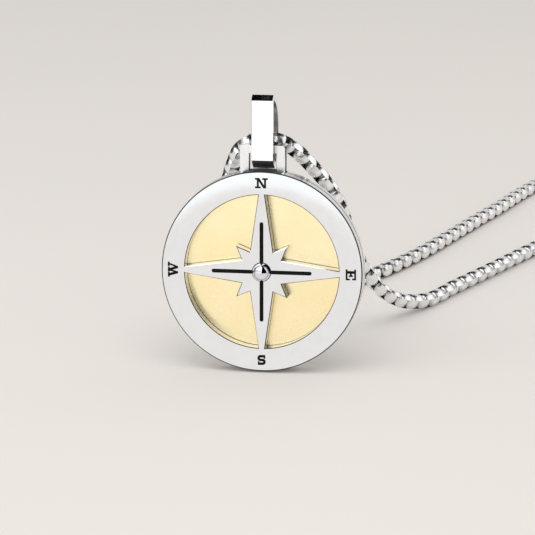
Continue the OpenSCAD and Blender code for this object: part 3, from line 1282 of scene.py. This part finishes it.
@dataclass
class BoxChain:
    """A round box chain: folded strip links with domed plates, each turned square to the last."""

    outer_r: float = 1.1
    pitch: float = 1.49
    half_l: float = 1.26
    strip_w: float = 1.16
    belly: float = 0.42
    strip_t: float = 0.36
    corner: float = 0.55
    corner_steps: int = 2
    dome_cuts: int = 2
    hump: float = 0.22
    end_dome: float = 0.35
    # The painted shade towards the ends of a link's outside, which darkens the gaps between links.
    end_shade: float = 0.15
    end_shade_power: int = 4
    crisp_deg: float = 50.0
    painted_link_shade: str = ChainFinish().painted_link_shade

    def strip_edges(self, mesh: BMesh) -> list[BMEdge]:
        """Return the edges that run across the strip, from side to side."""
        return [edge for edge in mesh.edges
                if abs(edge.verts[0].co.y - edge.verts[1].co.y) > self.strip_w / 2]

    def is_outside(self, place: Vector) -> bool:
        """Say whether a point of the plain link lies on its outer side.

        Args:
            place: The point.

        Returns:
            True where it is nearer the strip's outer side than its inner side.
        """
        x, z = abs(place.x), abs(place.z)
        centre_x, centre_z = self.outer_r - self.corner, self.half_l - self.corner
        if x > centre_x and z > centre_z:
            return math.hypot(x - centre_x, z - centre_z) > self.corner - self.strip_t / 2
        return x > self.outer_r - self.strip_t / 2 or z > self.half_l - self.strip_t / 2

    def folded_strip(self) -> BMesh:
        """Make the plain link: a flat strip folded into a loop with rounded corners.

        Returns:
            The link as a closed mesh, with its length up the Z axis.
        """
        mesh = bmesh.new()
        bmesh.ops.create_cube(mesh, size=1)
        bmesh.ops.scale(mesh, vec=(2 * self.outer_r, self.strip_w, 2 * self.half_l),
                        verts=mesh.verts)
        open_sides = [face for face in mesh.faces if abs(face.normal.y) > FACING]
        bmesh.ops.delete(mesh, geom=open_sides, context="FACES_ONLY")
        lengths = [edge for edge in mesh.edges
                   if abs(edge.verts[0].co.z - edge.verts[1].co.z) > self.half_l]
        bmesh.ops.subdivide_edges(mesh, edges=lengths, cuts=1)
        corners = [edge for edge in self.strip_edges(mesh)
                   if abs(edge.verts[0].co.z) > self.half_l / 2]
        bevel_edges(mesh, corners, self.corner, self.corner_steps)
        bmesh.ops.recalc_face_normals(mesh, faces=mesh.faces)
        side = max(mesh.faces, key=lambda face: face.calc_center_median().x)
        if side.normal.x < 0:
            bmesh.ops.reverse_faces(mesh, faces=mesh.faces)
        bmesh.ops.solidify(mesh, geom=mesh.faces[:], thickness=self.strip_t)
        bmesh.ops.recalc_face_normals(mesh, faces=mesh.faces)
        return mesh

    def shade_recess(self, mesh: BMesh) -> None:
        """Write how much painted shade each vertex takes, which also dulls it: 1 inside, and
        outside from 0 to the painted shade at the ends.

        Args:
            mesh: The plain link.
        """
        layer = mesh.verts.layers.float.new(self.painted_link_shade)
        for vert in mesh.verts:
            toward_end = (abs(vert.co.z) / self.half_l) ** self.end_shade_power
            vert[layer] = self.end_shade * toward_end if self.is_outside(vert.co) else 1.0

    def round_off(self, mesh: BMesh) -> None:
        """Swell the plates at their middles and dome them to the chain's round outline.

        Args:
            mesh: The link, with its outside cut across.
        """
        inner = self.outer_r - self.strip_t
        for vert in mesh.verts:
            reach = max(0.0, min(1.0, (abs(vert.co.x) - inner / 2) / (inner / 2)))
            along = (vert.co.z / self.half_l) ** 2
            vert.co.y *= 1 + self.belly * reach * (1 - along)
            dome = math.sqrt(self.outer_r ** 2 - vert.co.y ** 2) / self.outer_r
            if abs(vert.co.x) > inner + self.strip_t / 2:
                vert.co.x *= dome * (1 - self.hump * along)
            if abs(vert.co.z) > self.half_l - self.strip_t / 2:
                vert.co.z *= 1 - self.end_dome * (1 - dome)

    def link(self) -> Mesh:
        """Make one link, with its plates to either side and its length up the Z axis.

        Returns:
            The link's mesh data.
        """
        mesh = self.folded_strip()
        outer = [edge for edge in self.strip_edges(mesh) if self.is_outside(edge.verts[0].co)]
        self.shade_recess(mesh)
        bmesh.ops.subdivide_edges(mesh, edges=outer, cuts=self.dome_cuts)
        self.round_off(mesh)
        return as_data("link", mesh)

    def build(self, name: str, node: str, route: Route, skip_first: bool,
              finishes: Finishes) -> Object:
        """Lay links along a route.

        Args:
            name: The piece's name.
            node: The CAD node that the links stand for.
            route: The stretch that they follow.
            skip_first: Leave out the link at the start, which the other stretch holds.
            finishes: The pendant's materials.

        Returns:
            The stretch of chain as one piece.
        """
        link = self.link()
        mesh = bmesh.new()
        for k, (place, direction, roll) in enumerate(route.stations(self.pitch)):
            if k == 0 and skip_first:
                continue
            side = direction.cross(Vector((0, 0, 1))).normalized()
            below = direction.cross(side)
            frame = Matrix((side, below, direction)).transposed().to_4x4()
            quarter = Matrix.Rotation(math.radians(90 * (k % 2)) + roll, 4, "Z")
            start = len(mesh.verts)
            mesh.from_mesh(link)
            bmesh.ops.transform(mesh, matrix=Matrix.Translation(place) @ frame @ quarter,
                                verts=mesh.verts[start:])
        bpy.data.meshes.remove(link)
        piece = Piece(name, finishes.chain, Slot.CHAIN, (node,), crisp_deg=self.crisp_deg)
        return piece.finish(mesh, Matrix.Scale(MM, 4))


@dataclass
class HookClasp:
    """The plain closed hook between the chain's ends, lying flat, with an eye at its near end."""

    across: float = 141.2
    middle: float = 95.7
    length: float = 14.0
    width: float = 5.6
    thickness: float = 2.0
    eye_r: float = 1.9
    eye_hole_r: float = 0.9
    slot_w: float = 2.4
    neck: float = 0.6
    arc_steps: int = 16
    edge_bevel: float = 0.35
    bevel_steps: int = 3
    cut_margin: float = 1.0

    def stadium(self, low: float, high: float, radius: float) -> list[Pair]:
        """Return a long round-ended outline between two heights."""
        return [*arc((0, high - radius), radius, 0, 180, self.arc_steps),
                *arc((0, low + radius), radius, 180, 360, self.arc_steps)]

    def rounded(self, outline: list[Pair]) -> BMesh:
        """Make a plate of the hook's thickness with rounded edges.

        Args:
            outline: Its outline, drawn upright.

        Returns:
            The plate as a closed mesh.
        """
        plate = plate_mesh(outline, 0, self.thickness)
        bevel_edges(plate, filter(is_corner, plate.edges), self.edge_bevel, self.bevel_steps)
        return plate

    def cutter(self, outline: list[Pair]) -> BMesh:
        """Return a plate that reaches past the hook's two faces."""
        return plate_mesh(outline, -self.cut_margin, self.thickness + self.cut_margin)

    def build(self, finishes: Finishes) -> Object:
        """Build the hook and dress it.

        Args:
            finishes: The pendant's materials.

        Returns:
            The hook.
        """
        low, high = -self.length / 2, self.length / 2
        eye = (0, low + self.eye_r)
        body_low = low + 2 * self.eye_r - self.neck
        body_r, slot_r = self.width / 2, self.slot_w / 2
        slot_low = body_low + body_r + self.neck - slot_r
        slot_high = high - body_r + slot_r
        body = combined(self.rounded(self.stadium(body_low, high, body_r)),
                        [self.rounded(circle(eye, self.eye_r, self.arc_steps))], Operation.UNION)
        mesh = combined(body, [self.cutter(self.stadium(slot_low, slot_high, slot_r)),
                               self.cutter(circle(eye, self.eye_hole_r, self.arc_steps))],
                        Operation.DIFFERENCE)
        flat = Matrix.Translation((self.across, self.middle, self.thickness)) @ Matrix.Rotation(
            math.radians(-90), 4, "X")
        piece = Piece("hook_clasp", finishes.chain, Slot.CHAIN, ("clasp",))
        return piece.finish(mesh, Matrix.Scale(MM, 4) @ flat)


# The studio


@dataclass
class Card:
    """A flat card that the metal mirrors: its corners in millimetres, and its light."""

    name: str
    corners: list[Triple]
    strength: float
    colour: Triple = (1, 1, 1)

    def build(self) -> None:
        """Make the card, seen only in reflections."""
        mesh = bmesh.new()
        mesh.faces.new([mesh.verts.new(Vector(corner) * MM) for corner in self.corners])
        card = add_object(self.name, as_data(self.name, mesh))
        tree = NodeTree(self.name)
        tree.plain(Base_Color=(0, 0, 0, 1), Roughness=1.0, Specular_IOR_Level=0.0,
                   Emission_Color=(*self.colour, 1), Emission_Strength=self.strength)
        card.data.materials.append(tree.material)
        card.visible_camera = False
        card.visible_diffuse = False
        card.visible_shadow = False
        card.visible_transmission = False


@dataclass(frozen=True)
class DomeCard:
    """A card stretched between directions that are seen from the dial.

    The directions are azimuth from the front, to the right, and elevation, in degrees. A
    strength of 0 makes it a black card.
    """

    name: str
    directions: tuple[Pair, ...]
    strength: float = 0.0
    reach: float = 190.0

    def card(self) -> Card:
        """Place the card.

        Returns:
            The card with its corners in millimetres.
        """
        corners = []
        for direction in self.directions:
            azimuth, elevation = map(math.radians, direction)
            level = self.reach * math.cos(elevation)
            corners.append((level * math.sin(azimuth), -level * math.cos(azimuth),
                            STAND.radius + self.reach * math.sin(elevation)))
        return Card(self.name, corners, self.strength)


@dataclass(frozen=True)
class FrontCard:
    """The white card in front of the dial, whose lower edge is cut to an arc.

    The flat ring mirrors it, and its arc is the lower edge of the bright zone there. Its outline
    is drawn on the dial, as across and up from the centre, and carried out to the card.
    """

    distance: float = 150.0
    left: float = -180.0
    right: float = 36.0
    low: float = 3.4
    high: float = 62.0
    arc_r: float = 17.2
    arc_drop: float = 5.2
    arc_start_deg: float = 150.0
    arc_end_deg: float = 30.0
    arc_steps: int = 24
    strength: float = 1.18

    def thrown(self, eye: Vector, point: Pair) -> Triple:
        """Carry a point of the dial along its mirrored sight line to the card.

        Args:
            eye: The camera's place round the dial's centre.
            point: The point on the dial.

        Returns:
            Its place on the card, in millimetres of the scene.
        """
        spread = self.distance / -eye.y
        across = point[0] + (point[0] - eye.x) * spread
        up = point[1] + (point[1] - eye.z) * spread
        return tuple((STAND.dial() @ Vector((across, -self.distance, up))) / MM)

    def card(self, camera: Matrix) -> Card:
        """Place the card for a camera.

        Args:
            camera: The camera's transform.

        Returns:
            The card with its corners in millimetres.
        """
        eye = STAND.dial().inverted() @ camera.translation
        edge = arc((0, -self.arc_drop), self.arc_r, self.arc_start_deg, self.arc_end_deg,
                   self.arc_steps)
        outline = [(self.left, self.low), *edge, (self.right, self.low), (self.right, self.high),
                   (self.left, self.high)]
        return Card("front_card", [self.thrown(eye, point) for point in outline], self.strength)


@dataclass(frozen=True)
class SoftLight:
    """A square soft light that faces the dial, with its place and size in millimetres."""

    name: str
    place: Triple
    watts: float
    colour: Triple
    size: float = 420.0

    def build(self) -> None:
        """Hang the light, which the metal doesn't mirror."""
        data = bpy.data.lights.new(self.name, "AREA")
        data.shape = "SQUARE"
        data.size = self.size * MM
        data.energy = self.watts
        data.color = self.colour
        light = add_object(self.name, data)
        light.location = Vector(self.place) * MM
        aim = Vector((0, 0, STAND.radius)) - Vector(self.place)
        light.rotation_mode = "QUATERNION"
        light.rotation_quaternion = aim.to_track_quat("-Z", "Y")
        light.visible_glossy = False


@dataclass
class Studio:
    """The floor, the camera, the lights and the cards."""

    azimuth_deg: float = 9.5
    elevation_deg: float = 15.3
    roll_deg: float = -0.7
    distance: float = 420.0
    shift_right: float = 0.825
    shift_up: float = 0.633
    lens: float = 205.5
    sensor: float = 36.0
    clip: Pair = (0.01, 20.0)
    floor_half: float = 3.0
    floor_light: Triple = (0.812, 0.784, 0.753)
    floor_dark: Triple = (0.785, 0.76, 0.734)
    floor_roughness: float = 0.6
    haze: Grain = Grain(0.004, 2)
    world: Triple = (1.0, 0.985, 0.965)
    world_strength: float = 0.70
    lights: tuple[SoftLight, ...] = (
        SoftLight("key", (70, -200, 500), 0.8, (1, 0.985, 0.96)),
        SoftLight("fill", (-240, -160, 460), 0.46, (0.97, 0.985, 1)))
    front_card: FrontCard = FrontCard()
    floor_card: tuple[Pair, ...] = ((-90, -4), (60, -4), (90, -400), (-170, -400))
    floor_card_lift: float = 0.3
    floor_card_strength: float = 0.95
    floor_card_colour: Triple = (1, 0.95, 0.905)
    dome_cards: tuple[DomeCard, ...] = (
        DomeCard("left_softbox", ((-84, 20), (9.5, 24), (16, 56), (40, 80), (-84, 70)), 1.8, 175),
        DomeCard("right_softbox", ((79, -3), (150, -3), (150, 30), (72, 52)), 1.1),
        DomeCard("dark_gap", ((10, -3), (77, -3), (67, 50), (189.5, 64), (18, 56))),
        DomeCard("dark_left", ((-86, -3), (-150, -3), (-150, 40), (-84, 45))),
        DomeCard("dark_back", ((120, 33), (180, 33), (240, 33), (250, 60), (225, 80), (140, 80),
                               (110, 60))))

    def camera_axes(self) -> tuple[Vector, Vector, Vector]:
        """Work out how the camera is turned.

        Returns:
            Its right, up and backward directions.
        """
        azimuth, elevation, roll = map(math.radians, (self.azimuth_deg, self.elevation_deg,
                                                      self.roll_deg))
        right = Vector((math.cos(azimuth), math.sin(azimuth), 0))
        back = Vector((math.sin(azimuth) * math.cos(elevation),
                       -math.cos(azimuth) * math.cos(elevation), math.sin(elevation)))
        up = back.cross(right)
        return (right * math.cos(roll) + up * math.sin(roll),
                up * math.cos(roll) - right * math.sin(roll), back)

    def camera(self) -> Matrix:
        """Place the camera at the photograph's angle.

        Returns:
            Its transform.
        """
        right, up, back = self.camera_axes()
        place = STAND.dial().translation + MM * (
            back * self.distance + right * self.shift_right + up * self.shift_up)
        data = bpy.data.cameras.new("camera")
        data.lens = self.lens
        data.sensor_width = self.sensor
        data.clip_start, data.clip_end = self.clip
        camera = add_object("camera", data)
        pose = Matrix.Translation(place) @ Matrix((right, up, back)).transposed().to_4x4()
        camera.matrix_world = pose
        bpy.context.scene.camera = camera
        return pose

    def floor(self) -> None:
        """Lay the plain pale floor."""
        mesh = bmesh.new()
        bmesh.ops.create_grid(mesh, x_segments=1, y_segments=1, size=self.floor_half)
        floor = add_object("floor", as_data("floor", mesh))
        tree = NodeTree("floor")
        tree.paint(tree.noise(self.haze), self.floor_dark, self.floor_light)
        tree.plain(Roughness=self.floor_roughness, Specular_IOR_Level=0.0)
        floor.data.materials.append(tree.material)

    def surroundings(self) -> None:
        """Light the room evenly."""
        world = bpy.data.worlds.new("soft_room")
        bpy.context.scene.world = world
        world.use_nodes = True
        shade = world.node_tree.nodes["Background"]
        shade.inputs["Color"].default_value = (*self.world, 1)
        shade.inputs["Strength"].default_value = self.world_strength

    def cards(self, camera: Matrix) -> list[Card]:
        """Place the cards round the pendant.

        Args:
            camera: The camera's transform.

        Returns:
            The cards.
        """
        low = [(across, depth, self.floor_card_lift) for across, depth in self.floor_card]
        return [self.front_card.card(camera),
                Card("floor_card", low, self.floor_card_strength, self.floor_card_colour),
                *(dome.card() for dome in self.dome_cards)]

    def build(self) -> None:
        """Build all of the studio."""
        camera = self.camera()
        self.floor()
        self.surroundings()
        for item in (*self.lights, *self.cards(camera)):
            item.build()
        view = bpy.context.scene.view_settings
        view.view_transform = "Standard"
        view.look = "None"


# The whole pendant


@dataclass
class Pendant:
    """The pendant's sub-assemblies, in the order in which they are built."""

    dial: DialPlate = field(default_factory=DialPlate)
    back: BackPlate = field(default_factory=BackPlate)
    ball: CentreBall = field(default_factory=CentreBall)
    bail: StrapBail = field(default_factory=StrapBail)
    chain: BoxChain = field(default_factory=BoxChain)
    clasp: HookClasp = field(default_factory=HookClasp)

    def dress_node(self, name: str, material: Material, slot: Slot) -> None:
        """Give a kept CAD node its finish.

        Args:
            name: The node.
            material: Its finish.
            slot: Not used.
        """
        node = bpy.data.objects[name]
        node.data.materials.clear()
        node.data.materials.append(material)
        LOG.info("%s: dressed", name)

    def build(self, finishes: Finishes) -> None:
        """Build every sub-assembly and dress the node that stays.

        Args:
            finishes: The pendant's materials.
        """
        for part in (self.dial, self.back, self.ball, self.bail):
            part.build(finishes)
        self.chain.build("box_chain_right", "chain_right", RIGHT_ROUTE, False, finishes)
        self.chain.build("box_chain_left", "chain_left", LEFT_ROUTE, True, finishes)
        self.clasp.build(finishes)
        self.dress_node("inlay_disc", finishes.gold, Slot.GOLD)


def main() -> None:
    """Load the frame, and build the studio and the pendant."""
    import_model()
    Studio().build()
    Pendant().build(Finishes())
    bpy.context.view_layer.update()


if __name__ == "__main__":
    main()
